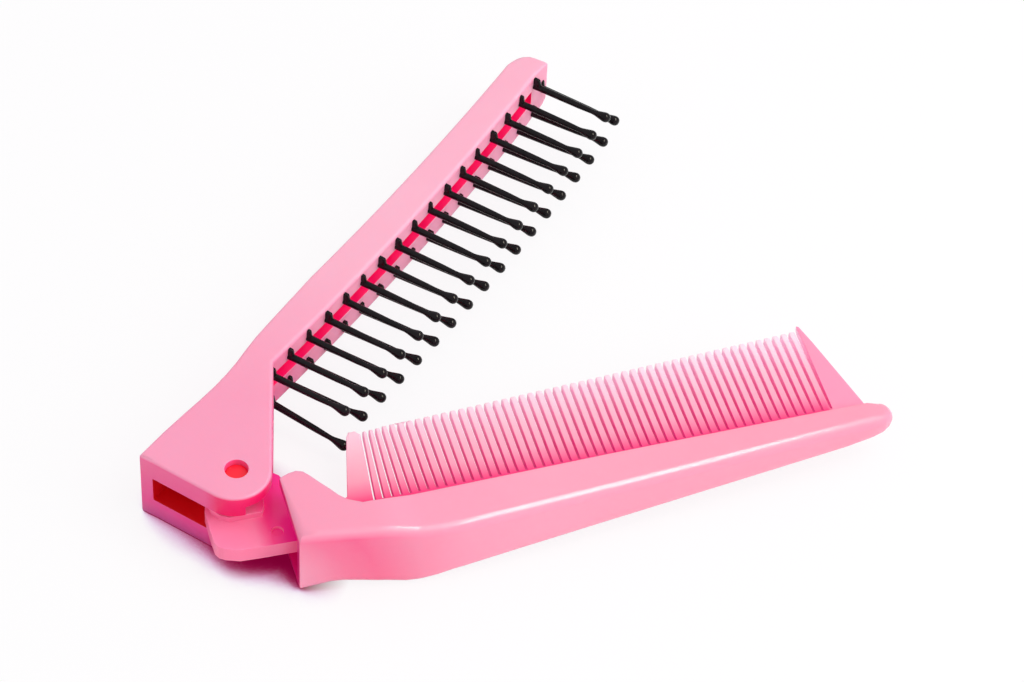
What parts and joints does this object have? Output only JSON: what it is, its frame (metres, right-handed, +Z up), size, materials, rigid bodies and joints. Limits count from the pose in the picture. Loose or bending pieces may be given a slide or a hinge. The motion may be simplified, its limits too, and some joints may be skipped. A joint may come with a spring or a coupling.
{
  "type": "folding pocket brush and comb",
  "caption": "Folding pocket hairbrush with a fine-toothed comb on a second arm; the two arms swing flat together on one hinge pin and open out almost in line.",
  "frame": {"origin": "on the hinge axis, at the flat bottom of the brush arm's hinge end, where the part rests", "axes": "+Z up along the hinge axis; +X along the comb arm from the hinge to its tip; the comb's teeth point towards +Y; the brush arm stands at 41.6 degrees from +X towards +Y"},
  "size_m": [0.1358, 0.1106, 0.015],
  "materials": {
    "casing": "glossy translucent pink moulded plastic",
    "blade": "glossy translucent pink moulded plastic, a little deeper in colour",
    "pin": "smooth deep red plastic",
    "bristle": "glossy black moulded plastic"
  },
  "bodies": {
    "comb_arm": {"comb_casing": "casing", "comb_blade": "blade"},
    "brush_arm": {"brush_casing": "casing", "hinge_pin": "pin", "upper_bristle_01": "bristle", "upper_bristle_02": "bristle", "upper_bristle_03": "bristle", "upper_bristle_04": "bristle", "upper_bristle_05": "bristle", "upper_bristle_06": "bristle", "upper_bristle_07": "bristle", "upper_bristle_08": "bristle", "upper_bristle_09": "bristle", "upper_bristle_10": "bristle", "upper_bristle_11": "bristle", "upper_bristle_12": "bristle", "upper_bristle_13": "bristle", "upper_bristle_14": "bristle", "upper_bristle_15": "bristle", "upper_bristle_16": "bristle", "upper_bristle_17": "bristle", "lower_bristle_01": "bristle", "lower_bristle_02": "bristle", "lower_bristle_03": "bristle", "lower_bristle_04": "bristle", "lower_bristle_05": "bristle", "lower_bristle_06": "bristle", "lower_bristle_07": "bristle", "lower_bristle_08": "bristle", "lower_bristle_09": "bristle", "lower_bristle_10": "bristle", "lower_bristle_11": "bristle", "lower_bristle_12": "bristle", "lower_bristle_13": "bristle", "lower_bristle_14": "bristle", "lower_bristle_15": "bristle", "lower_bristle_16": "bristle", "lower_bristle_17": "bristle", "tip_bristle": "bristle"}
  },
  "joints": [
    {"name": "fold_hinge", "type": "hinge", "parent": "comb_arm", "child": "brush_arm", "pos_m": [0, 0, 0.0075], "axis": [0, 0, 1], "range_deg": [-39.6, 129.4]}
  ]
}
